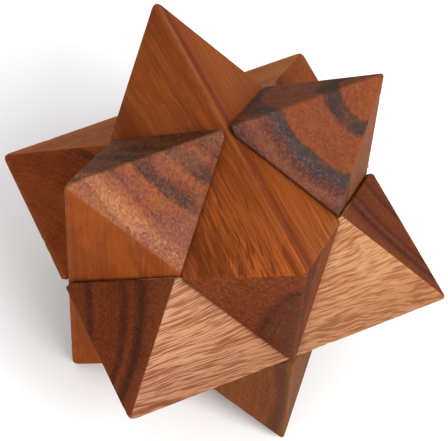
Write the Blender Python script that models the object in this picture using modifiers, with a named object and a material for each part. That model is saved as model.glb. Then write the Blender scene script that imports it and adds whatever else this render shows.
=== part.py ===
"""Wooden star burr puzzle: six alike notched bars that lock together into a twelve-pointed star.

Metres, +Z up. The origin is on the ground, under the star's centre. The left and right bars stand
upright, the front and back bars lie along X, and the top and bottom bars lie along Y. The star
stands on the lower chisel edges of its two upright bars.
"""

import math

import bmesh
import bpy
from mathutils import Matrix, Vector

# Driving dimensions.
BAR_SIDE = 0.025  # width of each long face of the square stock
HALF_LENGTH = 0.0365  # from the middle of a bar to its chisel edge
FIT_GAP = 0.0003  # play between a notch and the bar that lies in it
INNER_FLAT_DEPTH = 0.0011  # how much of the inner arris is planed away
EDGE_EASE = 0.0003  # chamfer on each outer arris, measured along the faces
MERGE_DISTANCE = 0.00001  # joins the twin points that a cut through an arris leaves

# Worked out from them.
BAR_DIAGONAL = BAR_SIDE * math.sqrt(2)  # from the star's centre to a bar's outer ridge
CHISEL_EDGE_DROP = EDGE_EASE / math.sqrt(2)  # height that easing takes off a chisel edge
CENTRE_HEIGHT = HALF_LENGTH - CHISEL_EDGE_DROP  # the star's centre above the ground
OVERSHOOT = 2 * HALF_LENGTH  # how far stock and cutters run past the shape they make

# A bar is modelled lying along Y with its ridge towards +Z and its inner arris on the origin.
# Each entry gives the way that the bar's ridge faces, the way it runs, and its wood.
BARS = {
    "top_bar": ((0, 0, 1), (0, 1, 0), (0.26, 0.085, 0.028)),
    "bottom_bar": ((0, 0, -1), (0, 1, 0), (0.24, 0.085, 0.032)),
    "front_bar": ((0, -1, 0), (1, 0, 0), (0.56, 0.29, 0.16)),
    "back_bar": ((0, 1, 0), (1, 0, 0), (0.17, 0.050, 0.020)),
    "left_bar": ((-1, 0, 0), (0, 0, 1), (0.33, 0.115, 0.035)),
    "right_bar": ((1, 0, 0), (0, 0, 1), (0.38, 0.130, 0.050)),
}
WOOD_ROUGHNESS = 0.45


def clear_scene():
    for thing in list(bpy.data.objects):
        bpy.data.objects.remove(thing, do_unlink=True)


def new_collection(name):
    collection = bpy.data.collections.new(name)
    bpy.context.scene.collection.children.link(collection)
    return collection


def box(name, size, place, collection):
    """A box of the given size, with place already in its mesh, so that no scale is left on it."""
    mesh = bpy.data.meshes.new(name)
    shape = bmesh.new()
    bmesh.ops.create_cube(shape, size=1, matrix=place @ Matrix.Diagonal((*size, 1)))
    shape.to_mesh(mesh)
    shape.free()
    thing = bpy.data.objects.new(name, mesh)
    collection.objects.link(thing)
    return thing


def helper(thing):
    """Marks a cutter or a blank, which isn't one of the puzzle's pieces."""
    thing.hide_render = True
    thing.display_type = "WIRE"
    return thing


def boolean(thing, operation, cutter):
    modifier = thing.modifiers.new(cutter.name, "BOOLEAN")
    modifier.operation = operation
    modifier.solver = "EXACT"
    modifier.object = cutter


def square_stock(collection):
    """The square bar, standing on one of its arrises along Y."""
    turned = Matrix.Translation((0, 0, BAR_DIAGONAL / 2)) @ Matrix.Rotation(math.radians(45), 4, "Y")
    return helper(box("bar_blank", (BAR_SIDE, 2 * OVERSHOOT, BAR_SIDE), turned, collection))


def chisel_block(collection):
    """A square prism whose upright corners cut both ends of the bar to a chisel edge."""
    side = HALF_LENGTH * math.sqrt(2)
    turned = Matrix.Rotation(math.radians(45), 4, "Z")
    return helper(box("chisel_ends", (side, side, 2 * OVERSHOOT), turned, collection))


def notch_cutter(name, side_sign, collection):
    """A right-angled V across the inner arris, cut FIT_GAP deeper than the bar that lies in it."""
    side = BAR_SIDE
    bottom_of_v = BAR_DIAGONAL / 2 + FIT_GAP * math.sqrt(2)
    middle = Vector((0, side_sign * BAR_DIAGONAL / 2, bottom_of_v - side / math.sqrt(2)))
    turned = Matrix.Translation(middle) @ Matrix.Rotation(math.radians(45), 4, "X")
    return helper(box(name, (OVERSHOOT, side, side), turned, collection))


def inner_flat_cutter(collection):
    """Planes the inner arris flat, so that the six bars don't meet in sharp points."""
    size = (OVERSHOOT, 2 * OVERSHOOT, 2 * INNER_FLAT_DEPTH)
    return helper(box("inner_flat", size, Matrix.Identity(4), collection))


def weld(thing):
    modifier = thing.modifiers.new("weld", "WELD")
    modifier.merge_threshold = MERGE_DISTANCE


def ease_edges(thing):
    modifier = thing.modifiers.new("eased_edges", "BEVEL")
    modifier.width = EDGE_EASE
    modifier.segments = 1
    modifier.limit_method = "ANGLE"
    modifier.angle_limit = math.radians(30)


def notched_bar_mesh(collection):
    """The shape that all six bars share."""
    blank = square_stock(collection)
    boolean(blank, "INTERSECT", chisel_block(collection))
    weld(blank)
    ease_edges(blank)
    boolean(blank, "DIFFERENCE", notch_cutter("near_notch", -1, collection))
    boolean(blank, "DIFFERENCE", notch_cutter("far_notch", 1, collection))
    boolean(blank, "DIFFERENCE", inner_flat_cutter(collection))
    graph = bpy.context.evaluated_depsgraph_get()
    mesh = bpy.data.meshes.new_from_object(blank.evaluated_get(graph))
    mesh.name = "notched_bar"
    return mesh


def wood(name, colour):
    material = bpy.data.materials.new(name + "_wood")
    material.use_nodes = True
    shader = material.node_tree.nodes["Principled BSDF"]
    shader.inputs["Base Color"].default_value = (*colour, 1)
    shader.inputs["Roughness"].default_value = WOOD_ROUGHNESS
    shader.inputs["Metallic"].default_value = 0
    return material


def place_bar(name, mesh, ridge, run, colour, centre, collection):
    """A bar whose ridge faces one way and whose length runs another, about the star's centre."""
    ridge, run = Vector(ridge), Vector(run)
    turn = Matrix((run.cross(ridge), run, ridge)).transposed()
    bar = bpy.data.objects.new(name, mesh)
    bar.parent = centre
    bar.rotation_euler = turn.to_euler()
    bar.material_slots[0].link = "OBJECT"
    bar.material_slots[0].material = wood(name, colour)
    collection.objects.link(bar)


def build():
    clear_scene()
    puzzle = new_collection("star_burr_puzzle")
    cutters = new_collection("cutters")
    mesh = notched_bar_mesh(cutters)
    mesh.materials.clear()
    mesh.materials.append(None)
    centre = bpy.data.objects.new("star_centre", None)
    centre.location.z = CENTRE_HEIGHT
    puzzle.objects.link(centre)
    for name, (ridge, run, colour) in BARS.items():
        place_bar(name, mesh, ridge, run, colour, centre, puzzle)


build()
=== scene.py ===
"""Looks of the wooden star burr puzzle: six carved bars of figured tropical hardwood, oiled and handled.

Every bar is made in its own coordinates: x across, y along the grain, z from the star's centre
out to the ridge. Its near end is the one where y is negative. The wood is a solid: growth rings
are cylinders about an axis beside the bar, so the same figure runs as stripes along a long face
and as arches across a chisel-cut end. Materials work in mm.
"""

import math
import random
from typing import NamedTuple

import bmesh
import bpy
import numpy as np
from mathutils import Matrix, Vector, noise


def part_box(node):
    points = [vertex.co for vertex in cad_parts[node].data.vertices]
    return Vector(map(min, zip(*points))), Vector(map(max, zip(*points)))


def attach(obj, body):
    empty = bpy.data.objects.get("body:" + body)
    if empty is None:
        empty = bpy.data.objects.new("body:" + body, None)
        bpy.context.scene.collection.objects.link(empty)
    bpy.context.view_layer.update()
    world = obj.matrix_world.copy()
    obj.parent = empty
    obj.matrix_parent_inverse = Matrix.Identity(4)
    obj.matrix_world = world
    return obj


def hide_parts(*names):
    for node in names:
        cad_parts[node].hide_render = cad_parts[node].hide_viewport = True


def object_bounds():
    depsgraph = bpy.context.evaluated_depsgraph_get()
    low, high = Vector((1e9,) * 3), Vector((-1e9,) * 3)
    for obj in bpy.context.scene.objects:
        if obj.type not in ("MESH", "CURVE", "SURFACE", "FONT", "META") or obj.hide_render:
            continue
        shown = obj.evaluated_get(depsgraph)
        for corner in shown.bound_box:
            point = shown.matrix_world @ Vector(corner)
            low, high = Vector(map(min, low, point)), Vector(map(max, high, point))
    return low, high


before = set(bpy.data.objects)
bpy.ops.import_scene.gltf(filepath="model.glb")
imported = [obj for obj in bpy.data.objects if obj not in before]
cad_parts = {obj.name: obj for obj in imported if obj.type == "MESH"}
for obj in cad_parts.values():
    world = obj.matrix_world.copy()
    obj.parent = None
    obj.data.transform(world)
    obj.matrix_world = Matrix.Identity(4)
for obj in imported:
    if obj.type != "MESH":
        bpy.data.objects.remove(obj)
cad_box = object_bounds()

MM = 0.001

# The bar, worked out from the frame. The CAD bars are eased by EDGE_EASE along each face.
EDGE_EASE = 0.3 * MM
EASE_DROP = EDGE_EASE / math.sqrt(2)
CENTRE = Vector((0, 0, (cad_box[0].z + cad_box[1].z) / 2))
HALF_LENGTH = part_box("top_bar")[1].y + EASE_DROP
RIDGE_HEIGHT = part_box("top_bar")[1].z + EASE_DROP - CENTRE.z
INNER_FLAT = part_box("top_bar")[0].z - CENTRE.z
FIT_GAP = 0.12 * MM  # the CAD bars have 0.3 mm; hand-fitted seams look tighter than that

# How the hand-finished bar differs from the sharp one.
RIDGE_ROUND = 0.45 * MM
CHISEL_ROUND = 0.40 * MM
HIP_ROUND = 0.28 * MM
INNER_ROUND = 0.18 * MM
ROUND_SEGMENTS = 4
CELL = RIDGE_HEIGHT / 60  # size of the mesh's cells
HAND_WAVE = 0.035 * MM  # how far sanding leaves a face from flat
HAND_WAVE_LENGTH = 11 * MM
DENTS = 6  # small knocks on each bar
DENT_WIDTH = (0.9 * MM, 1.8 * MM)
DENT_SHARE = (0.06, 0.13)  # depth over width
DENT_REACH = 0.95  # share of the half length that they lie within
DENT_ASIDE = 0.4 * MM  # how far they lie beside the arris
RIDGE_DENTS = 0.5  # share of them that are on the ridge and not on a chisel edge
BLUNT_START = 2.4  # how far behind the sharp tip the wear starts, in depths of wear
BLUNT_REACH = 1.4  # how far past there the worn tip can still reach, in depths of wear
BOX_MARGIN = 0.001 * MM  # keeps rounding errors inside the CAD bar's box
WEAR_AND_HIGHLIGHT_WIDTH = 1.1 * MM  # how far from an arris the wear and painted highlight show
SEAM_WIDTH = 1.0 * MM  # how far from a seam the dirt and painted shade show
RIDGE_WEAR_AND_HIGHLIGHT, CHISEL_WEAR_AND_HIGHLIGHT, HIP_WEAR_AND_HIGHLIGHT = 1.0, 0.35, 0.15  # how much paler each kind of arris is, from wear and a painted highlight
SEED_STEP = 3.7  # sets the waves and dents of each bar apart

# How exactly the mesh is made.
STOCK_MERGE = 0.001 * MM
NOTCH_MERGE = 0.005 * MM
CUT_TOLERANCE = 0.002 * MM
FLAT_ANGLE = math.radians(1)  # faces closer than this are one face
CREASE_ANGLE = math.radians(5)  # edges flatter than this aren't rounded
SHARP_ANGLE = math.radians(35)  # edges sharper than this aren't shaded smooth

# The way each bar's ridge faces and the way it runs.
BARS = {
    "top_bar": ((0, 0, 1), (0, 1, 0)),
    "bottom_bar": ((0, 0, -1), (0, 1, 0)),
    "front_bar": ((0, -1, 0), (1, 0, 0)),
    "back_bar": ((0, 1, 0), (1, 0, 0)),
    "left_bar": ((-1, 0, 0), (0, 0, 1)),
    "right_bar": ((1, 0, 0), (0, 0, 1)),
}


# ---------------------------------------------------------------- bar geometry


def cut_flat(shape, point, normal, **options):
    """Cuts everything in the shape by a plane."""
    everything = shape.verts[:] + shape.edges[:] + shape.faces[:]
    bmesh.ops.bisect_plane(shape, geom=everything, plane_co=point, plane_no=normal, **options)


def sharp_stock():
    """The square bar with chisel ends, sharp, cut from a block by the planes of its faces."""
    shape = bmesh.new()
    bmesh.ops.create_cube(shape, size=4 * HALF_LENGTH)
    half = RIDGE_HEIGHT / 2
    planes = [(Vector((0, 0, INNER_FLAT)), Vector((0, 0, -1)))]
    for across in (-1, 1):
        for other in (-1, 1):
            face = Vector((across, 0, other))
            planes.append((Vector((0, 0, half)) + face * half / 2, face))
            chisel = Vector((across, other, 0))
            planes.append((chisel * HALF_LENGTH / 2, chisel))
    for point, normal in planes:
        cut_flat(shape, point, normal, clear_outer=True)
        bmesh.ops.holes_fill(shape, edges=[edge for edge in shape.edges if edge.is_boundary])
    bmesh.ops.remove_doubles(shape, verts=shape.verts[:], dist=STOCK_MERGE)
    bmesh.ops.recalc_face_normals(shape, faces=shape.faces[:])
    return shape


def scratch_object(name, shape):
    mesh = bpy.data.meshes.new(name)
    shape.to_mesh(mesh)
    shape.free()
    thing = bpy.data.objects.new(name, mesh)
    bpy.context.scene.collection.objects.link(thing)
    return thing


def notch_cutter(name, side_sign):
    """The right-angled V that crosses the bar, FIT_GAP clear of the bar that lies in it."""
    side = RIDGE_HEIGHT / math.sqrt(2)
    bottom = RIDGE_HEIGHT / 2 + FIT_GAP * math.sqrt(2)
    middle = Matrix.Translation((0, side_sign * RIDGE_HEIGHT / 2, bottom - side / math.sqrt(2)))
    turned = middle @ Matrix.Rotation(math.radians(45), 4, "X")
    stretched = Matrix.Diagonal((2 * HALF_LENGTH, side, side, 1))
    shape = bmesh.new()
    bmesh.ops.create_cube(shape, size=1, matrix=turned @ stretched)
    return scratch_object(name, shape)


def applied(thing):
    """The object's mesh with its modifiers applied; the object is removed."""
    bpy.context.view_layer.update()
    graph = bpy.context.evaluated_depsgraph_get()
    mesh = bpy.data.meshes.new_from_object(thing.evaluated_get(graph))
    bpy.data.objects.remove(thing, do_unlink=True)
    return mesh


def notched(stock):
    """The sharp bar with both notches, its flat faces made whole again."""
    bar = scratch_object("sharp_bar", stock)
    cutters = [notch_cutter("near_notch", -1), notch_cutter("far_notch", 1)]
    for cutter in cutters:
        modifier = bar.modifiers.new(cutter.name, "BOOLEAN")
        modifier.operation = "DIFFERENCE"
        modifier.object = cutter
    mesh = applied(bar)
    for cutter in cutters:
        bpy.data.objects.remove(cutter, do_unlink=True)
    shape = bmesh.new()
    shape.from_mesh(mesh)
    bmesh.ops.remove_doubles(shape, verts=shape.verts[:], dist=NOTCH_MERGE)
    bmesh.ops.dissolve_limit(shape, angle_limit=FLAT_ANGLE, verts=shape.verts[:], edges=shape.edges[:])
    return shape


def face_kind(face):
    """One of the two long roof faces, a chisel cut, or one of the rest, which the star hides."""
    across, along, out = face.normal
    if out > 0.5 and abs(across) > 0.5:
        return "roof"
    if abs(along) > 0.5 and abs(across) > 0.5:
        return "chisel"
    return "inner"


def rounding_of(edge):
    """The radius that an edge is worn to."""
    if len(edge.link_faces) != 2 or edge.calc_face_angle_signed(0) < CREASE_ANGLE:
        return 0
    kinds = {face_kind(face) for face in edge.link_faces}
    if "inner" in kinds:
        return INNER_ROUND
    if len(kinds) == 2:
        return HIP_ROUND
    return RIDGE_ROUND if kinds == {"roof"} else CHISEL_ROUND


def rounded(shape):
    """Every convex edge rounded: chisel edges and ridge most, hips less, inner edges least."""
    widest = max(RIDGE_ROUND, CHISEL_ROUND)
    layer = shape.edges.layers.float.new("bevel_weight_edge")
    for edge in shape.edges:
        edge[layer] = rounding_of(edge) / widest
    bar = scratch_object("rounded_bar", shape)
    modifier = bar.modifiers.new("rounded", "BEVEL")
    modifier.limit_method = "WEIGHT"
    modifier.width = widest
    modifier.segments = ROUND_SEGMENTS
    modifier.use_clamp_overlap = True
    return applied(bar)


def cut_into_cells(mesh):
    """Cuts the bar's faces into small cells along all three directions, so that they can be worn."""
    shape = bmesh.new()
    shape.from_mesh(mesh)
    steps = int(RIDGE_HEIGHT / CELL) + 1
    cuts = [((index * CELL, 0, 0), (1, 0, 0)) for index in range(-steps // 2, steps // 2 + 1)]
    cuts += [((0, 0, index * CELL), (0, 0, 1)) for index in range(1, steps)]
    for index in range(1, int(HALF_LENGTH / CELL)):
        for sign in (-1, 1):
            cuts.append(((0, sign * (HALF_LENGTH - index * CELL), 0), (0, 1, 0)))
    for point, normal in cuts:
        cut_flat(shape, point, normal, dist=CUT_TOLERANCE)
    bmesh.ops.triangulate(shape, faces=[face for face in shape.faces if len(face.verts) > 4])
    return shape


def points_of(mesh):
    flat = np.empty(len(mesh.vertices) * 3, np.float32)
    mesh.vertices.foreach_get("co", flat)
    return flat.reshape(-1, 3).astype(float)


def blunted(places, near_depth, far_depth):
    """The bar's two points worn blunt: each ridge end is pressed back smoothly by about its depth."""
    depth = np.where(places[:, 1] < 0, near_depth, far_depth)
    reach = (np.abs(places[:, 1]) + places[:, 2]) / math.sqrt(2)
    tip = (HALF_LENGTH + RIDGE_HEIGHT) / math.sqrt(2)
    over = np.maximum(reach - (tip - BLUNT_START * depth), 0)
    limit = BLUNT_REACH * depth
    kept = limit * (1 - np.exp(-over / limit))
    back = (over - kept)[:, None] / math.sqrt(2)
    outward = np.stack([0 * reach, np.sign(places[:, 1]), np.ones_like(reach)], axis=1)
    return places - back * outward


def knocked(places, seed):
    """Small dents along the ridge and the chisel edges, as a much handled puzzle has."""
    draw = random.Random(seed)
    for _ in range(DENTS):
        along = draw.uniform(-DENT_REACH, DENT_REACH)
        if draw.random() < RIDGE_DENTS:
            spot = np.array([0, along * HALF_LENGTH, RIDGE_HEIGHT])
        else:
            end = math.copysign(HALF_LENGTH, along)
            spot = np.array([0, end, abs(along) * RIDGE_HEIGHT])
        spot[0] = draw.uniform(-DENT_ASIDE, DENT_ASIDE)
        width = draw.uniform(*DENT_WIDTH)
        depth = width * draw.uniform(*DENT_SHARE)
        near = np.clip(1 - np.sum((places - spot) ** 2, axis=1) / width**2, 0, 1)
        inward = -spot / np.linalg.norm(spot)
        places = places + depth * (near**2)[:, None] * inward
    return places


def held_inside(places):
    """No point past the eased chisel edges of the CAD bar."""
    limit = HALF_LENGTH - EASE_DROP - BOX_MARGIN
    return np.clip(places, (-limit, -limit, 0), limit)


def hand_worn(places, normals, seed):
    """Faces a little out of flat, as sanding by hand leaves them. It only ever takes wood away."""
    start = Vector((seed, 0, 0))
    waves = np.array([noise.noise(Vector(place) / HAND_WAVE_LENGTH + start) for place in places])
    return places - normals * (HAND_WAVE * (0.5 + 0.5 * waves))[:, None]


def arris_wear_and_highlight(places):
    """Paleness of the arrises, from wear and a painted highlight: 1 on the ridge, less on the chisel edges
    and hips, falling to 0 at a set width from each.
    """
    x, y, z = np.abs(places[:, 0]), np.abs(places[:, 1]), places[:, 2]
    roof = (RIDGE_HEIGHT - z - x) / math.sqrt(2)
    chisel = (HALF_LENGTH - y - x) / math.sqrt(2)
    wear = np.zeros(len(places))
    for distance, amount in (
        (np.hypot(x, roof), RIDGE_WEAR_AND_HIGHLIGHT),
        (np.hypot(x, chisel), CHISEL_WEAR_AND_HIGHLIGHT),
        (np.hypot(roof, chisel), HIP_WEAR_AND_HIGHLIGHT),
    ):
        wear = np.maximum(wear, amount * np.clip(1 - distance / WEAR_AND_HIGHLIGHT_WIDTH, 0, 1))
    return wear


def seam_dirt_and_shade_mask(places):
    """Mask for dirt and painted shade along the seams: 1 where a neighbour's face meets this bar in the
    closed star, falling to 0 at SEAM_WIDTH.
    """
    x, y, z = np.abs(places[:, 0]), np.abs(places[:, 1]), places[:, 2]
    beyond = HALF_LENGTH - RIDGE_HEIGHT
    on_roof_face = np.abs(y - x - beyond) / math.sqrt(2)
    on_chisel_face = np.abs(z - x + beyond) / math.sqrt(2)
    is_roof = (RIDGE_HEIGHT - z - x) < (HALF_LENGTH - y - x)
    distance = np.where(is_roof, on_roof_face, on_chisel_face)
    return np.clip(1 - distance / SEAM_WIDTH, 0, 1)


def store(mesh, name, values):
    attribute = mesh.attributes.new(name, "FLOAT", "POINT")
    attribute.data.foreach_set("value", values.astype(np.float32))


def carved_bar(name, point_wear, seed, base):
    """One finished bar, placed by turning it about the star's centre."""
    mesh = base.copy()
    mesh.name = "carved_" + name
    places = points_of(mesh)
    normals = np.empty(len(mesh.vertices) * 3, np.float32)
    mesh.vertices.foreach_get("normal", normals)
    worn = hand_worn(places, normals.reshape(-1, 3), seed)
    worn = held_inside(knocked(blunted(worn, *point_wear), seed))
    mesh.vertices.foreach_set("co", worn.astype(np.float32).ravel())
    # Masks for the arrises' wear and painted highlight, and for the seams' dirt and painted shade.
    store(mesh, "arris", arris_wear_and_highlight(places))
    store(mesh, "seam", seam_dirt_and_shade_mask(places))
    mesh.shade_smooth()
    mesh.set_sharp_from_angle(angle=SHARP_ANGLE)
    mesh.update()
    bar = bpy.data.objects.new("carved_" + name, mesh)
    bpy.context.scene.collection.objects.link(bar)
    ridge, run = (Vector(way) for way in BARS[name])
    turn = Matrix((run.cross(ridge), run, ridge)).transposed().to_4x4()
    bar.matrix_world = Matrix.Translation(CENTRE) @ turn
    return bar


# ---------------------------------------------------------------- wood


class Figure(NamedTuple):
    """A noise that draws one part of the wood's figure."""

    scale: tuple  # across, along and out from the bar's middle, for each mm
    shift: tuple  # keeps it apart from the others
    detail: float
    roughness: float = 0.5
    levels: tuple = None  # the two noise values between which it comes to full strength


SLOW_BENDS = Figure((0.060, 0.018, 0.060), (1.7, 4.1), 1.0)
SHORT_BENDS = Figure((0.30, 0.05, 0.30), (3.9, 7.5), 2.0, 0.6)
RAGGED_EDGES = Figure((1.6, 0.20, 1.6), (8.3, 2.9), 3.0, 0.7)
FADED_PLACES = Figure((0.16, 0.16, 0.16), (9.1, 3.7), 3.0, 0.65, (0.46, 0.66))
CLOUDY_PATCHES = Figure((0.16, 0.055, 0.16), (4.9, 6.8), 3.0, 0.65, (0.42, 0.62))
THREAD_SWAY = Figure((0.15, 0.08, 0.15), (1.5, 2.6), 1.0)
THREADS = Figure((1.5, 0.034, 0.75), (3.3, 7.7), 3.0, 0.60, (0.47, 0.60))
GRAIN_LINES = Figure((2.6, 0.05, 2.6), (0.9, 5.5), 2.0, 0.6, (0.36, 0.64))
FIBRE_ENDS = Figure((2.0, 1.1, 2.0), (2.8, 1.9), 3.0, 0.7, (0.34, 0.66))
RIBBON_SWAY = Figure((0.10, 0.10, 0.10), (5.1, 0.3), 2.0)
COARSE_RIBBONS = Figure((1.0, 0.10, 2.5), (2.2, 9.4), 1.0, 0.5)
FINE_RIBBONS = Figure((1.8, 0.20, 6.0), (7.2, 3.4), 1.0, 0.6)
PORES = Figure((3.2, 0.30, 3.2), (6.6, 1.2), 1.0, 0.4, (0.62, 0.70))
SCUFFS = Figure((0.5, 0.5, 0.5), (0, 0), 3.0, 0.6)

HALF_LENGTH_MM = HALF_LENGTH / MM
END_FACING = (0.25, 0.50)  # how far a face turns along the bar to start and to be a cut end
HALVES_BLEND = 9.0  # mm either side of the middle where the near half changes into the far half
SIDES_BLEND = 2.0  # mm either side of the ridge where streaks change in strength
RIDGE_BLEND = 0.8  # mm either side of the ridge where the tint changes
SIDE_SHADE_EDGE = (-0.6, 1.4)  # mm past the ridge where the painted shade on one side sets in
SHOULDER_WIDTH = 9  # mm from the ridge
THREAD_SWAY_REACH = (1.3, 0, 1.3)  # mm

GROWTH_DETAIL = 2.5
GROWTH_LEVELS = (0.30, 0.70)

RIBBON_MIDDLE = 28  # mm from the star's centre where the ribbon lines run straight along the bar
RIBBON_FAN = 0.014  # how fast they spread from there, for each mm along the bar
RIBBON_ACROSS = 0.4  # how much less they change across the bar
RIBBON_SWAY_REACH = (0, 0, 0.8)  # mm
RIBBON_FINE_SHARES = (0.35, 0.70)  # share of the fine lines at the near and the far end
RIBBON_FAR_STRENGTH = 0.7  # as a share of that at the near end
RIBBON_LEVELS = (0.455, 0.575)

FLECK_SCALES = (3.0, 1.6, 0.8)  # across the rings, along them and along the bar, for each mm
FLECK_DETAIL = 2.0
FLECK_ROUGHNESS = 0.6
FLECK_LEVELS = (0.44, 0.68)
FLECK_CORE = 0.6  # share of the carrying rings' width where they are at full strength
FLECK_STRAYS = 0.35  # their strength outside the carrying rings

# Two levels of the scuff noise, and what they give: polish with a painted highlight, dirt with painted
# shade, and roughness.
SCUFFED_POLISH_AND_HIGHLIGHT = (0.25, 0.65, 0.4, 1.0)
SCUFFED_DIRT_AND_SHADE = (0.30, 0.70, 0.3, 1.0)
SCUFFED_ROUGHNESS = (0.25, 0.75, 0.54, 0.66)
PORE_ROUGHNESS = 0.15
WOOD_SPECULAR = 0.02
THREAD_HEIGHT = 0.5  # against a pore's depth of 1
BUMP_STRENGTH = 0.35
BUMP_DISTANCE = 0.05 * MM
# Dark colour for the dirt and painted shade in the seams between bars.
SEAM_DIRT_AND_SHADE_COLOUR = (0.050, 0.011, 0.004)


# A mix node's colour sockets, by number because it has other sockets of the same names.
MIX_COLOURS_IN = (6, 7)
MIX_COLOUR_OUT = 2


class Tree:
    """A short way to write a material's nodes."""

    def __init__(self, material):
        material.use_nodes = True
        self.tree = material.node_tree
        self.tree.nodes.clear()

    def put(self, value, socket):
        """Sets a socket to a number or a colour, or links it."""
        if isinstance(value, bpy.types.NodeSocket):
            self.tree.links.new(value, socket)
        else:
            socket.default_value = value

    def node(self, kind, **settings):
        made = self.tree.nodes.new(kind)
        for key, value in settings.items():
            setattr(made, key, value)
        return made

    def math(self, operation, first, second=0.0, third=0.0, clamp=False):
        made = self.node("ShaderNodeMath", operation=operation, use_clamp=clamp)
        for socket, value in zip(made.inputs, (first, second, third)):
            self.put(value, socket)
        return made.outputs[0]

    def product(self, first, *others):
        for value in others:
            first = self.math("MULTIPLY", first, value)
        return first

    def vector(self, operation, first, second):
        made = self.node("ShaderNodeVectorMath", operation=operation)
        self.put(first, made.inputs[0])
        self.put(second, made.inputs[1])
        return made.outputs[0]

    def scaled(self, vector, scale, offset=(0, 0, 0)):
        made = self.node("ShaderNodeVectorMath", operation="MULTIPLY_ADD")
        for socket, value in zip(made.inputs, (vector, scale, offset)):
            self.put(value, socket)
        return made.outputs[0]

    def parts(self, vector):
        """The vector's three numbers."""
        made = self.node("ShaderNodeSeparateXYZ")
        self.put(vector, made.inputs[0])
        return made.outputs[0], made.outputs[1], made.outputs[2]

    def joined(self, first, second, third):
        """A vector of three numbers."""
        made = self.node("ShaderNodeCombineXYZ")
        for socket, value in zip(made.inputs, (first, second, third)):
            self.put(value, socket)
        return made.outputs[0]

    def grey(self, shade):
        made = self.node("ShaderNodeCombineColor")
        for socket in made.inputs[:3]:
            self.put(shade, socket)
        return made.outputs[0]

    def noise(self, vector, detail, roughness, colour=False):
        made = self.node("ShaderNodeTexNoise")
        self.put(vector, made.inputs["Vector"])
        made.inputs["Scale"].default_value = 1
        made.inputs["Detail"].default_value = detail
        made.inputs["Roughness"].default_value = roughness
        return made.outputs["Color" if colour else "Fac"]

    def line_noise(self, value, detail):
        """Noise along one number."""
        made = self.node("ShaderNodeTexNoise", noise_dimensions="1D")
        self.put(value, made.inputs["W"])
        made.inputs["Scale"].default_value = 1
        made.inputs["Detail"].default_value = detail
        return made.outputs["Fac"]

    def span(self, value, low, high, to_low=0.0, to_high=1.0):
        """Value stretched from low..high to to_low..to_high, held at both ends."""
        made = self.node("ShaderNodeMapRange", interpolation_type="SMOOTHSTEP")
        for socket, number in zip(made.inputs, (value, low, high, to_low, to_high)):
            self.put(number, socket)
        return made.outputs[0]

    def ramp(self, value, stops):
        """Colours at given places from 0 to 1."""
        made = self.node("ShaderNodeValToRGB")
        made.color_ramp.interpolation = "EASE"
        elements = made.color_ramp.elements
        while len(elements) > 1:
            elements.remove(elements[0])
        elements[0].position = stops[0][0]
        elements[0].color = (*stops[0][1], 1)
        for place, colour in stops[1:]:
            elements.new(place).color = (*colour, 1)
        self.put(value, made.inputs[0])
        return made.outputs[0]

    def mix(self, factor, first, second, blend="MIX"):
        """Two colours mixed; each is a socket or three numbers."""
        made = self.node("ShaderNodeMix", data_type="RGBA", blend_type=blend)
        made.clamp_factor = True
        self.put(factor, made.inputs[0])
        for colour, number in zip((first, second), MIX_COLOURS_IN):
            self.put((*colour, 1) if isinstance(colour, tuple) else colour, made.inputs[number])
        return made.outputs[MIX_COLOUR_OUT]

    def attribute(self, name):
        made = self.node("ShaderNodeAttribute", attribute_name=name)
        return made.outputs["Fac"]


WOOD_DEFAULTS = {
    "centre": (0, 0),  # the ring axis, in mm across and out from the inner arris
    "lean": (0, 0),  # how the ring axis moves across and out for each mm along the bar
    "skew": (0, 0),  # how the rings crowd towards one side
    "reach": (0, 60),  # the ring radii in mm that the colours run between
    "rings": [],  # (radius in mm, colour) on the long faces
    "end_rings": None,  # the same on the cut ends, where it differs
    "wander": 0.8,  # slow bending of the rings, in mm
    "wobble": 0.35,  # bending every few mm
    "fray": 0.4,  # ragged edges of the rings, in mm
    "growth": 0.10,  # strength of the fine growth lines
    "growth_step": 0.55,  # distance between them, in mm
    "patch": 0.25,  # strength of slow cloudy patches along the grain
    "patch_tint": (0.72, 0.62, 0.55),
    "streak": 0.22,  # strength of the fibre streaks
    "streak_drift": 0.0,  # how much stronger they are at the near end than at the far end
    "streak_fan": 0.0,  # how fast they spread towards the near end, for each mm along the bar
    "streak_side": 0.0,  # how much weaker they are on the right face than on the left one
    "streak_colour": (0.10, 0.025, 0.008),
    "grain": 0.10,  # strength of the fine lighter and darker lines along the fibres
    "far_grain": 1.0,  # that at the far end, as a share of that at the near end
    "speckle": 0.16,  # strength of the cut fibre ends
    "fade": 0.0,  # how far the end bands fade out in places
    "fade_colour": (0.20, 0.06, 0.025),
    "fade_out": (99, 100),  # where the bands end, in mm from the middle of the bar's width
    "ribbon": 0.0,  # strength of the broken wavy lines of interlocked grain on the long faces
    "ribbon_tint": (0.70, 0.56, 0.46),
    "pore": 0.35,  # strength of the open pores
    "fleck": 0.0,  # pale specks in the cut ends
    "fleck_colour": (0.75, 0.42, 0.25),
    "fleck_rings": (0, 100),  # the ring radii in mm that carry them
    "near_tint": (1, 1, 1),  # colour at the near end
    "near_right_tint": None,  # the same on the bar's right, where it differs
    "far_tint": (1, 1, 1),  # colour at the far end
    "shoulder": 0.0,  # how much darker a long face grows towards the ridge
    "shoulder_tint": (0.66, 0.60, 0.58),
    "heart": 0.0,  # strength of the painted shade, a darker colour on one side of the bar
    "heart_side": -1,  # which side: 1 or -1 across
    "heart_tint": (0.45, 0.40, 0.36),
    "polish": 0.25,  # how much paler the arrises are, from wear and a painted highlight
    "polish_colour": (0.62, 0.27, 0.11),
    "polish_near": 1.0,  # that at the near end, as a share of that at the far end
    "seam_dirt_and_shade": 0.25,  # strength of the dirt and painted shade along the seams
    "seed": 0.0,  # sets each bar's noises apart
}


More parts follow.
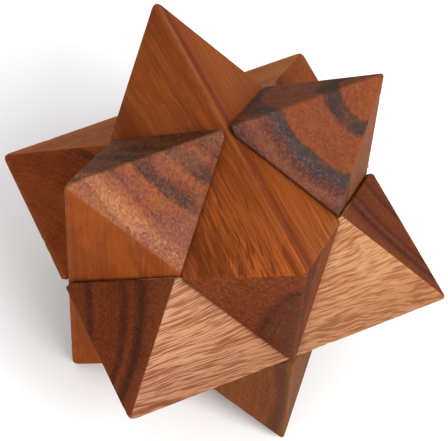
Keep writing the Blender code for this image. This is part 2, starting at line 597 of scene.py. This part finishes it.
def drawn(tree, figure, place, look, colour=False):
    """The figure's noise at that place in this bar's wood."""
    shifted = tree.scaled(place, figure.scale, (look["seed"], *figure.shift))
    return tree.noise(shifted, figure.detail, figure.roughness, colour)


def strength(tree, figure, place, look):
    """0 below the figure's lower level, 1 above its upper one."""
    return tree.span(drawn(tree, figure, place, look), *figure.levels)


def moved(tree, vector, figure, place, reach, look):
    """The vector moved by the figure's noise, up to reach mm either way in each direction."""
    noise_colour = drawn(tree, figure, place, look, colour=True)
    shift = tree.scaled(noise_colour, [2 * part for part in reach], [-part for part in reach])
    return tree.vector("ADD", vector, shift)


def shaded(tree, colour, value, levels, contrast, amount=1.0):
    """The colour, darker where the value is low and lighter where it is high."""
    shade = tree.span(value, *levels, 1 - contrast, 1 + contrast)
    return tree.mix(amount, colour, tree.grey(shade), "MULTIPLY")


def over_length(tree, place, near, far):
    """A number that goes from near to far along the whole bar."""
    return tree.span(tree.parts(place)[1], -HALF_LENGTH_MM, HALF_LENGTH_MM, near, far)


def over_middle(tree, place, near, far):
    """A number that is near in the near half and far in the far half."""
    return tree.span(tree.parts(place)[1], -HALVES_BLEND, HALVES_BLEND, near, far)


def ring_polar(tree, place, look):
    """The distance from the ring axis in mm, bent slowly and frayed finely, and the angle around it."""
    bent = place
    for figure, key in ((SLOW_BENDS, "wander"), (SHORT_BENDS, "wobble"), (RAGGED_EDGES, "fray")):
        bent = moved(tree, bent, figure, place, (look[key],) * 3, look)
    across, along, out = tree.parts(bent)
    across_axis = tree.math("MULTIPLY_ADD", along, look["lean"][0], look["centre"][0])
    out_axis = tree.math("MULTIPLY_ADD", along, look["lean"][1], look["centre"][1])
    across = tree.math("SUBTRACT", across, across_axis)
    out = tree.math("SUBTRACT", out, out_axis)
    squares = tree.math("ADD", tree.product(across, across), tree.product(out, out))
    radius = tree.math("SQRT", squares)
    radius = tree.math("SUBTRACT", radius, tree.product(across, look["skew"][0]))
    radius = tree.math("SUBTRACT", radius, tree.product(out, look["skew"][1]))
    return radius, tree.math("ARCTAN2", out, across)


def ring_colour(tree, radius, reach, rings):
    low, high = reach
    stops = [((ring - low) / (high - low), colour) for ring, colour in rings]
    fraction = tree.math("DIVIDE", tree.math("SUBTRACT", radius, low), high - low, clamp=True)
    return tree.ramp(fraction, stops)


def with_growth_lines(tree, colour, radius, look):
    """Fine lighter and darker layers that follow the rings."""
    steps = tree.math("MULTIPLY_ADD", radius, 1 / look["growth_step"], look["seed"])
    return shaded(tree, colour, tree.line_noise(steps, GROWTH_DETAIL), GROWTH_LEVELS, look["growth"])


def with_fading(tree, colour, place, look):
    """Bands that fade out in places, and end towards the sides of the bar."""
    amount = tree.product(strength(tree, FADED_PLACES, place, look), look["fade"])
    ended = tree.span(tree.math("ABSOLUTE", tree.parts(place)[0]), *look["fade_out"])
    return tree.mix(tree.math("MAXIMUM", amount, ended), colour, look["fade_colour"])


def with_patches(tree, colour, place, look):
    """Slow cloudy patches along the grain."""
    amount = tree.product(strength(tree, CLOUDY_PATCHES, place, look), look["patch"])
    return tree.mix(amount, colour, look["patch_tint"], "MULTIPLY")


def with_heart(tree, colour, place, look):
    """Painted shade: a darker colour on one side of the bar's middle."""
    sideways = tree.product(tree.parts(place)[0], look["heart_side"])
    amount = tree.product(tree.span(sideways, *SIDE_SHADE_EDGE), look["heart"])
    return tree.mix(amount, colour, look["heart_tint"], "MULTIPLY")


def with_drift(tree, colour, place, look):
    """A slow change of colour from the near end to the far end."""
    across, along, _ = tree.parts(place)
    share = tree.math("MULTIPLY_ADD", along, 1 / (2 * HALF_LENGTH_MM), 0.5, clamp=True)
    near = look["near_tint"]
    if look["near_right_tint"]:
        on_right = tree.span(across, -RIDGE_BLEND, RIDGE_BLEND)
        near = tree.mix(on_right, near, look["near_right_tint"])
    tint = tree.mix(share, near, look["far_tint"])
    return tree.mix(1.0, colour, tint, "MULTIPLY")


def with_shoulder(tree, colour, place, long_face, look):
    """Long faces darker towards the ridge, where hands have held them."""
    from_ridge = tree.math("ABSOLUTE", tree.parts(place)[0])
    near_ridge = tree.span(from_ridge, 0.0, SHOULDER_WIDTH, 1.0, 0.0)
    amount = tree.product(near_ridge, long_face, look["shoulder"])
    return tree.mix(amount, colour, look["shoulder_tint"], "MULTIPLY")


def fibre_threads(tree, place, look):
    """Long thin threads along the grain, spreading towards the near end."""
    across, along, out = tree.parts(place)
    near = tree.math("MINIMUM", along, 0.0)
    spread = tree.math("MULTIPLY_ADD", near, look["streak_fan"], 1.0)
    fanned = tree.joined(tree.product(across, spread), along, out)
    swayed = moved(tree, fanned, THREAD_SWAY, place, THREAD_SWAY_REACH, look)
    return drawn(tree, THREADS, swayed, look)


def with_grain(tree, colour, place, threads, look):
    """Fine lighter and darker lines along the fibres, and the dots they make where they are cut across."""
    lines = drawn(tree, GRAIN_LINES, place, look)
    middle = tree.product(tree.math("ADD", lines, threads), 0.5)
    amount = over_middle(tree, place, 1.0, look["far_grain"])
    return shaded(tree, colour, middle, GRAIN_LINES.levels, look["grain"], amount)


def with_speckle(tree, colour, place, end, look):
    """The cut fibre ends."""
    dots = drawn(tree, FIBRE_ENDS, place, look)
    return shaded(tree, colour, dots, FIBRE_ENDS.levels, look["speckle"], end)


def with_streaks(tree, colour, place, threads, look):
    """Long dark threads along the grain."""
    across = tree.parts(place)[0]
    amount = over_length(tree, place, look["streak"] * (1 + look["streak_drift"]), look["streak"])
    side = tree.span(across, -SIDES_BLEND, SIDES_BLEND, 1.0, 1 - look["streak_side"])
    amount = tree.product(tree.span(threads, *THREADS.levels), amount, side)
    return tree.mix(amount, colour, look["streak_colour"])


def with_ribbons(tree, colour, place, long_face, look):
    """Broken wavy lines nearly along the bar, fanning out and mixed with finer ones at its far end."""
    across, along, out = tree.parts(place)
    fan = tree.math("MULTIPLY_ADD", along, -RIBBON_FAN, 1.0)
    spread = tree.product(tree.math("SUBTRACT", out, RIBBON_MIDDLE), fan)
    fanned = tree.joined(tree.product(across, RIBBON_ACROSS), along, spread)
    wavy = moved(tree, fanned, RIBBON_SWAY, place, RIBBON_SWAY_REACH, look)
    coarse = drawn(tree, COARSE_RIBBONS, wavy, look)
    fine = drawn(tree, FINE_RIBBONS, wavy, look)
    fine_share = over_length(tree, place, *RIBBON_FINE_SHARES)
    lines = tree.math("ADD", coarse, tree.product(tree.math("SUBTRACT", fine, coarse), fine_share))
    full = over_length(tree, place, look["ribbon"], RIBBON_FAR_STRENGTH * look["ribbon"])
    amount = tree.product(tree.span(lines, *RIBBON_LEVELS), long_face, full)
    return tree.mix(amount, colour, look["ribbon_tint"], "MULTIPLY")


def with_pores(tree, colour, pores, look):
    return tree.mix(tree.product(pores, look["pore"]), colour, look["streak_colour"])


def with_flecks(tree, colour, place, polar, end, look):
    """Pale specks in the cut ends, drawn out a little along the rings."""
    radius, angle = polar
    inner, outer = look["fleck_rings"]
    middle, half_width = (inner + outer) / 2, (outer - inner) / 2
    scale_out, scale_round, scale_along = FLECK_SCALES
    speck_place = tree.joined(
        tree.product(radius, scale_out),
        tree.product(angle, scale_round * middle),
        tree.product(tree.parts(place)[1], scale_along),
    )
    specks = tree.span(tree.noise(speck_place, FLECK_DETAIL, FLECK_ROUGHNESS), *FLECK_LEVELS)
    away = tree.math("ABSOLUTE", tree.math("SUBTRACT", radius, middle))
    inside = tree.span(away, half_width * FLECK_CORE, half_width, 1.0, FLECK_STRAYS)
    return tree.mix(tree.product(specks, inside, end, look["fleck"]), colour, look["fleck_colour"])


def with_handling_and_painted_light(tree, colour, place, scuffs, look):
    """Arrises paler from polish and a painted highlight, and dirt and painted shade along the seams."""
    polish = tree.product(
        tree.attribute("arris"),
        tree.span(scuffs, *SCUFFED_POLISH_AND_HIGHLIGHT),
        over_middle(tree, place, look["polish_near"], 1.0),
        look["polish"],
    )
    colour = tree.mix(polish, colour, look["polish_colour"])
    # Dirt and painted shade along the seams.
    dirt_and_shade = tree.product(tree.attribute("seam"), tree.span(scuffs, *SCUFFED_DIRT_AND_SHADE), look["seam_dirt_and_shade"])
    return tree.mix(dirt_and_shade, colour, SEAM_DIRT_AND_SHADE_COLOUR)


def wood_colour(tree, place, end, threads, pores, scuffs, look):
    """The rings and bands, and on them all that marks and tints the wood, with painted shade and painted
    highlight.
    """
    long_face = tree.math("SUBTRACT", 1.0, end)
    polar = ring_polar(tree, place, look)
    radius = polar[0]
    bands = ring_colour(tree, radius, look["reach"], look["end_rings"] or look["rings"])
    if look["fade"]:
        bands = with_fading(tree, bands, place, look)
    colour = tree.mix(end, ring_colour(tree, radius, look["reach"], look["rings"]), bands)
    colour = with_growth_lines(tree, colour, radius, look)
    colour = with_patches(tree, colour, place, look)
    # Painted shade on one side of the bar.
    if look["heart"]:
        colour = with_heart(tree, colour, place, look)
    colour = with_drift(tree, colour, place, look)
    if look["shoulder"]:
        colour = with_shoulder(tree, colour, place, long_face, look)
    colour = with_grain(tree, colour, place, threads, look)
    colour = with_speckle(tree, colour, place, end, look)
    colour = with_streaks(tree, colour, place, threads, look)
    if look["ribbon"]:
        colour = with_ribbons(tree, colour, place, long_face, look)
    colour = with_pores(tree, colour, pores, look)
    if look["fleck"]:
        colour = with_flecks(tree, colour, place, polar, end, look)
    return with_handling_and_painted_light(tree, colour, place, scuffs, look)


def wood_bump(tree, threads, pores):
    """Pores sunk in, threads raised a little."""
    bump = tree.node("ShaderNodeBump")
    bump.inputs["Strength"].default_value = BUMP_STRENGTH
    bump.inputs["Distance"].default_value = BUMP_DISTANCE
    height = tree.math("SUBTRACT", tree.product(threads, THREAD_HEIGHT), pores)
    tree.put(height, bump.inputs["Height"])
    return bump.outputs[0]


def wood_material(name, **given):
    """Oiled hardwood, solid through the bar: satin, duller in the pores and on scuffed places."""
    look = {**WOOD_DEFAULTS, **given}
    material = bpy.data.materials.new(name)
    tree = Tree(material)
    coordinates = tree.node("ShaderNodeTexCoord")
    place = tree.scaled(coordinates.outputs["Object"], (1 / MM,) * 3)
    facing_along = tree.math("ABSOLUTE", tree.parts(coordinates.outputs["Normal"])[1])
    end = tree.span(facing_along, *END_FACING)
    threads = fibre_threads(tree, place, look)
    pores = strength(tree, PORES, place, look)
    scuffs = drawn(tree, SCUFFS, place, look)
    roughness = tree.math("ADD", tree.span(scuffs, *SCUFFED_ROUGHNESS), tree.product(pores, PORE_ROUGHNESS))

    shader = tree.node("ShaderNodeBsdfPrincipled")
    tree.put(wood_colour(tree, place, end, threads, pores, scuffs, look), shader.inputs["Base Color"])
    tree.put(roughness, shader.inputs["Roughness"])
    tree.put(WOOD_SPECULAR, shader.inputs["Specular IOR Level"])
    tree.put(wood_bump(tree, threads, pores), shader.inputs["Normal"])
    output = tree.node("ShaderNodeOutputMaterial")
    tree.put(shader.outputs[0], output.inputs["Surface"])
    return material


def top_bar_wood():
    """Orange-brown, straight grained, with one dark layer that fills the arch in its front end."""
    return wood_material(
        "top_bar_wood",
        centre=(44.4, 6.6),
        lean=(-0.03, 0),
        reach=(26, 66),
        rings=[
            (28, (0.238, 0.063, 0.0133)),
            (40, (0.242, 0.065, 0.0133)),
            (48.2, (0.228, 0.059, 0.0122)),
            (49.6, (0.184, 0.045, 0.0112)),
            (50.1, (0.097, 0.028, 0.0102)),
            (50.5, (0.213, 0.051, 0.0122)),
            (50.9, (0.107, 0.028, 0.0102)),
            (51.4, (0.228, 0.057, 0.0143)),
            (55, (0.238, 0.061, 0.0133)),
            (58.0, (0.218, 0.055, 0.0112)),
            (59.4, (0.144, 0.036, 0.0074)),
            (60.4, (0.135, 0.034, 0.0069)),
            (61.6, (0.185, 0.047, 0.0095)),
            (65, (0.204, 0.050, 0.0102)),
        ],
        end_rings=[
            (28, (0.143, 0.044, 0.0184)),
            (41, (0.126, 0.040, 0.0166)),
            (45, (0.070, 0.024, 0.0115)),
            (49.8, (0.062, 0.021, 0.0106)),
            (50.7, (0.049, 0.0158, 0.0083)),
            (52.2, (0.105, 0.027, 0.0087)),
            (60, (0.126, 0.033, 0.0097)),
        ],
        near_tint=(1.56, 1.52, 1.50),
        near_right_tint=(1.10, 1.00, 0.96),
        far_tint=(0.88, 0.82, 0.82),
        shoulder=0.45,
        shoulder_tint=(0.80, 0.66, 0.58),
        wander=0.6,
        streak=0.36,
        streak_drift=1.2,
        streak_fan=0.012,
        streak_side=0.80,
        streak_colour=(0.105, 0.020, 0.006),
        grain=0.34,
        far_grain=0.4,
        pore=0.20,
        # Painted highlight along the ridge, with some wear.
        polish=0.40,
        polish_near=0.4,
        polish_colour=(0.33, 0.115, 0.038),
        seed=1.3,
    )


def bottom_bar_wood():
    """Mid brown, with a dark stripe beside its chisel edges."""
    return wood_material(
        "bottom_bar_wood",
        centre=(100, 18),
        reach=(78, 120),
        rings=[
            (80, (0.145, 0.044, 0.0130)),
            (92, (0.170, 0.050, 0.0140)),
            (97.2, (0.155, 0.046, 0.0140)),
            (98.6, (0.095, 0.034, 0.0160)),
            (99.4, (0.085, 0.032, 0.0160)),
            (100.2, (0.132, 0.049, 0.0172)),
            (106, (0.144, 0.047, 0.0140)),
            (118, (0.120, 0.037, 0.0101)),
        ],
        streak=0.25,
        seed=5.9,
    )


def front_bar_wood():
    """Pale sapwood over dark striped heartwood, with wavy interlocked grain."""
    return wood_material(
        "front_bar_wood",
        centre=(28, -2.2),
        reach=(26, 54),
        rings=[
            (27, (0.12, 0.026, 0.008)),
            (36, (0.16, 0.036, 0.010)),
            (41.5, (0.20, 0.050, 0.016)),
            (44.6, (0.42, 0.200, 0.105)),
            (50, (0.43, 0.215, 0.115)),
        ],
        end_rings=[
            (27, (0.090, 0.021, 0.0065)),
            (31.5, (0.113, 0.024, 0.0065)),
            (32.8, (0.056, 0.016, 0.0075)),
            (34.2, (0.124, 0.026, 0.0065)),
            (38.2, (0.113, 0.024, 0.0065)),
            (39.7, (0.062, 0.016, 0.0075)),
            (41.0, (0.124, 0.027, 0.0075)),
            (43.0, (0.050, 0.015, 0.0075)),
            (44.6, (0.118, 0.027, 0.0085)),
            (47.0, (0.135, 0.033, 0.0100)),
        ],
        near_tint=(1.06, 1.12, 1.22),
        far_tint=(1.02, 1.02, 0.88),
        shoulder=0.75,
        growth=0.05,
        patch=0.45,
        patch_tint=(0.88, 0.74, 0.68),
        speckle=0.24,
        streak=0.10,
        ribbon=1.0,
        ribbon_tint=(0.52, 0.35, 0.27),
        polish=0.06,
        seed=2.7,
    )


def back_bar_wood():
    """Dark reddish brown near end, lighter brown along its top."""
    return wood_material(
        "back_bar_wood",
        centre=(-30, 4),
        reach=(26, 64),
        rings=[
            (28, (0.24, 0.062, 0.012)),
            (44, (0.27, 0.072, 0.014)),
            (58, (0.33, 0.092, 0.017)),
        ],
        end_rings=[
            (28, (0.175, 0.036, 0.0078)),
            (38, (0.180, 0.038, 0.0080)),
            (42, (0.162, 0.033, 0.0070)),
            (45.4, (0.150, 0.029, 0.0068)),
            (46.2, (0.088, 0.020, 0.0060)),
            (46.9, (0.092, 0.021, 0.0060)),
            (47.6, (0.200, 0.046, 0.0100)),
            (58, (0.210, 0.048, 0.0100)),
        ],
        far_tint=(1.2, 1.35, 1.1),
        wander=0.7,
        patch=0.6,
        streak=0.25,
        seed=8.2,
    )


def left_bar_wood():
    """Orange-brown along its faces, with dark bands arching through salmon ends, their purple-grey tone a
    painted sheen.
    """
    return wood_material(
        "left_bar_wood",
        centre=(-20, -12),
        reach=(22, 54),
        rings=[
            (24, (0.209, 0.048, 0.0100)),
            (30.8, (0.230, 0.054, 0.0110)),
            (32.1, (0.114, 0.031, 0.0119)),
            (33.4, (0.230, 0.054, 0.0110)),
            (36.6, (0.240, 0.054, 0.0110)),
            (37.6, (0.125, 0.032, 0.0119)),
            (38.6, (0.251, 0.056, 0.0110)),
            (46, (0.261, 0.058, 0.0110)),
            (52, (0.251, 0.054, 0.0091)),
        ],
        # The grey in the dark end bands is a painted sheen over dark wood.
        end_rings=[
            (24, (0.098, 0.034, 0.022)),
            (28, (0.115, 0.038, 0.022)),
            (29.4, (0.168, 0.043, 0.0189)),
            (30.6, (0.089, 0.029, 0.0189)),
            (31.5, (0.049, 0.023, 0.0181)),
            (32.9, (0.055, 0.024, 0.0181)),
            (33.9, (0.204, 0.052, 0.0189)),
            (35.6, (0.120, 0.033, 0.0189)),
            (36.9, (0.060, 0.026, 0.0189)),
            (38.1, (0.066, 0.026, 0.0189)),
            (39.0, (0.227, 0.060, 0.022)),
            (41.2, (0.185, 0.051, 0.022)),
            (42.4, (0.132, 0.038, 0.024)),
            (43.6, (0.230, 0.066, 0.028)),
            (45.4, (0.298, 0.105, 0.046)),
            (46.3, (0.292, 0.104, 0.046)),
            (47.4, (0.216, 0.071, 0.033)),
            (51, (0.216, 0.071, 0.034)),
        ],
        far_tint=(1.06, 1.10, 1.06),
        wander=0.5,
        wobble=0.9,
        fray=0.85,
        patch=0.9,
        patch_tint=(0.80, 0.78, 1.0),
        fade=0.40,
        fade_colour=(0.195, 0.064, 0.037),
        fade_out=(7.5, 12.0),
        speckle=0.22,
        streak=0.10,
        pore=0.15,
        fleck=0.42,
        fleck_colour=(0.52, 0.24, 0.105),
        fleck_rings=(44.0, 47.6),
        # Painted shade on one side of the bar.
        heart=1.0,
        heart_tint=(0.42, 0.32, 0.16),
        polish=0.08,
        seed=4.4,
    )


def right_bar_wood():
    """Orange-salmon, with dark bands bending through its ends, their blue-grey tone a painted sheen."""
    return wood_material(
        "right_bar_wood",
        centre=(-2.8, 31.3),
        skew=(0.31, -0.24),
        reach=(0, 30),
        rings=[
            (2, (0.170, 0.052, 0.016)),
            (12.6, (0.160, 0.050, 0.016)),
            (15.2, (0.080, 0.030, 0.016)),
            (17, (0.125, 0.042, 0.017)),
            (24, (0.110, 0.038, 0.016)),
        ],
        # The grey in the dark end bands is a painted sheen over dark wood.
        end_rings=[
            (2.4, (0.187, 0.050, 0.0158)),
            (4.2, (0.173, 0.047, 0.0185)),
            (4.7, (0.038, 0.026, 0.023)),
            (6.5, (0.037, 0.025, 0.023)),
            (7.6, (0.163, 0.043, 0.0167)),
            (13.4, (0.177, 0.047, 0.0150)),
            (14.4, (0.042, 0.031, 0.030)),
            (15.8, (0.039, 0.031, 0.032)),
            (17.2, (0.071, 0.026, 0.0176)),
            (19.0, (0.150, 0.050, 0.029)),
            (20.6, (0.093, 0.031, 0.021)),
            (22.0, (0.045, 0.025, 0.0192)),
            (25, (0.080, 0.040, 0.030)),
        ],
        wander=0.5,
        wobble=1.0,
        fray=0.6,
        patch=0.7,
        patch_tint=(0.82, 0.80, 1.0),
        speckle=0.17,
        fade=0.35,
        fade_colour=(0.150, 0.042, 0.015),
        growth=0.05,
        streak=0.10,
        pore=0.20,
        fleck=0.26,
        fleck_colour=(0.27, 0.12, 0.075),
        fleck_rings=(14, 23),
        # Painted shade on one side of the bar.
        heart=1.0,
        heart_side=1,
        heart_tint=(0.76, 0.57, 0.25),
        polish=0.08,
        seed=6.1,
    )


# Each bar's wood, and how blunt its near and far points are worn, in mm.
FINISHES = {
    "top_bar": (top_bar_wood, 0.55, 0.75),
    "bottom_bar": (bottom_bar_wood, 0.45, 0.60),
    "front_bar": (front_bar_wood, 0.65, 0.45),
    "back_bar": (back_bar_wood, 0.60, 0.60),
    "left_bar": (left_bar_wood, 0.60, 0.65),
    "right_bar": (right_bar_wood, 0.60, 0.40),
}


def make_bars():
    base = bpy.data.meshes.new("carved_bar")
    shape = cut_into_cells(rounded(notched(sharp_stock())))
    shape.to_mesh(base)
    shape.free()
    for number, (name, (wood, near_wear, far_wear)) in enumerate(FINISHES.items()):
        bar = carved_bar(name, (near_wear * MM, far_wear * MM), number * SEED_STEP, base)
        bar.data.materials.clear()
        bar.data.materials.append(wood())
        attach(bar, name)
        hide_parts(name)


# ---------------------------------------------------------------- stage

# The viewer's place: angles in degrees, azimuth from -Y towards +X; lens and sensor in camera mm.
CAMERA_AZIMUTH = -28.07
CAMERA_ELEVATION = 57.49
CAMERA_ROLL = 4.15
CAMERA_DISTANCE = 440.4 * MM
CAMERA_LENS = 164.76
SENSOR_WIDTH = 36
CLIP_START = 0.01
AIM_RIGHT, AIM_UP = 0.715 * MM, 1.11 * MM  # from the star's centre to the middle of the view

FLOOR_SIZE = 6
FLOOR_COLOUR = (0.9, 0.9, 0.9, 1)
FLOOR_ROUGHNESS = 0.9
FLOOR_SPECULAR = 0.1
WORLD_COLOUR = (1, 1, 1, 1)
WORLD_STRENGTH = 0.9
KEY_AZIMUTH = 20
KEY_ELEVATION = 42
KEY_DISTANCE = 1.1
KEY_SIZE = 0.80
KEY_WATTS = 12.0


def towards(azimuth, elevation):
    """The direction from the object to a viewer at that azimuth and elevation, in degrees."""
    turn, rise = math.radians(azimuth), math.radians(elevation)
    return Vector((math.sin(turn) * math.cos(rise), -math.cos(turn) * math.cos(rise), math.sin(rise)))


def make_camera():
    back = towards(CAMERA_AZIMUTH, CAMERA_ELEVATION)
    right = Vector((0, 0, 1)).cross(back).normalized()
    up = back.cross(right)
    roll = math.radians(CAMERA_ROLL)
    rolled_right = right * math.cos(roll) + up * math.sin(roll)
    rolled_up = up * math.cos(roll) - right * math.sin(roll)
    place = CENTRE + AIM_RIGHT * rolled_right + AIM_UP * rolled_up + CAMERA_DISTANCE * back
    turn = Matrix((rolled_right, rolled_up, back)).transposed().to_4x4()
    data = bpy.data.cameras.new("camera")
    data.lens = CAMERA_LENS
    data.sensor_width = SENSOR_WIDTH
    data.sensor_fit = "HORIZONTAL"
    data.clip_start = CLIP_START
    camera = bpy.data.objects.new("camera", data)
    camera.matrix_world = Matrix.Translation(place) @ turn
    bpy.context.scene.collection.objects.link(camera)
    bpy.context.scene.camera = camera


def make_floor():
    shape = bmesh.new()
    bmesh.ops.create_grid(shape, x_segments=1, y_segments=1, size=FLOOR_SIZE / 2)
    floor = scratch_object("floor", shape)
    floor.location.z = cad_box[0].z
    material = bpy.data.materials.new("floor_white")
    tree = Tree(material)
    shader = tree.node("ShaderNodeBsdfPrincipled")
    tree.put(FLOOR_COLOUR, shader.inputs["Base Color"])
    tree.put(FLOOR_ROUGHNESS, shader.inputs["Roughness"])
    tree.put(FLOOR_SPECULAR, shader.inputs["Specular IOR Level"])
    output = tree.node("ShaderNodeOutputMaterial")
    tree.put(shader.outputs[0], output.inputs["Surface"])
    floor.data.materials.append(material)


def make_key_lamp():
    data = bpy.data.lights.new("key", "AREA")
    data.shape = "DISK"
    data.size = KEY_SIZE
    data.energy = KEY_WATTS
    lamp = bpy.data.objects.new("key", data)
    direction = towards(KEY_AZIMUTH, KEY_ELEVATION)
    lamp.location = CENTRE + direction * KEY_DISTANCE
    lamp.rotation_euler = direction.to_track_quat("Z", "Y").to_euler()
    bpy.context.scene.collection.objects.link(lamp)


def make_world():
    world = bpy.data.worlds.new("studio")
    world.use_nodes = True
    background = world.node_tree.nodes["Background"]
    background.inputs["Color"].default_value = WORLD_COLOUR
    background.inputs["Strength"].default_value = WORLD_STRENGTH
    bpy.context.scene.world = world


def make_studio():
    make_camera()
    make_floor()
    make_world()
    make_key_lamp()
    bpy.context.scene.view_settings.view_transform = "Standard"


make_bars()
make_studio()
